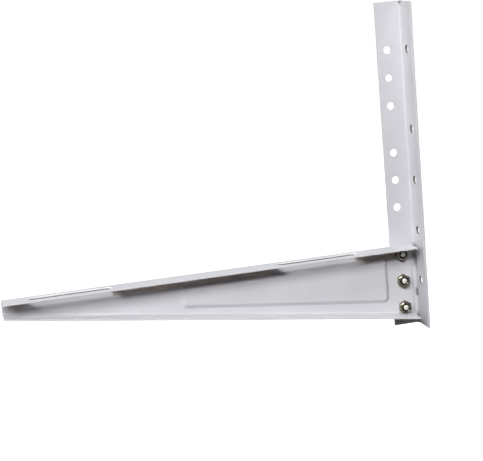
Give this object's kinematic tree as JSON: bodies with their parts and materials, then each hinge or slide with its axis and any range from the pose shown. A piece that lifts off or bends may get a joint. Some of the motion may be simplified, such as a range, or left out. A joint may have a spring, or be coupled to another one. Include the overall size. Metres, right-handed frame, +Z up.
{
  "type": "air conditioner outdoor unit bracket",
  "caption": "Folded steel wall bracket: an upright angle full of bolt holes, with a bolted, tapered channel arm that carries one side of an air conditioner's outdoor unit.",
  "frame": {"origin": "on the wall plane, at the middle of the leg that lies on the wall and at the height of the seat, the arm's upper face", "axes": "+X into the wall, so the arm reaches along -X; +Z up; +Y towards the web leg and the bolt heads"},
  "size_m": [0.465, 0.0409, 0.3617],
  "materials": {
    "upright_powder_coat": "smooth light grey powder coat",
    "arm_powder_coat": "smooth light grey powder coat",
    "bolt_yellow_zinc": "yellow passivated zinc plate",
    "nut_yellow_zinc": "yellow passivated zinc plate"
  },
  "bodies": {
    "root": {"upright_angle": "upright_powder_coat", "arm_channel": "arm_powder_coat", "bolt_upper": "bolt_yellow_zinc", "bolt_middle": "bolt_yellow_zinc", "bolt_lower": "bolt_yellow_zinc", "nut_upper": "nut_yellow_zinc", "nut_middle": "nut_yellow_zinc", "nut_lower": "nut_yellow_zinc"}
  },
  "joints": []
}
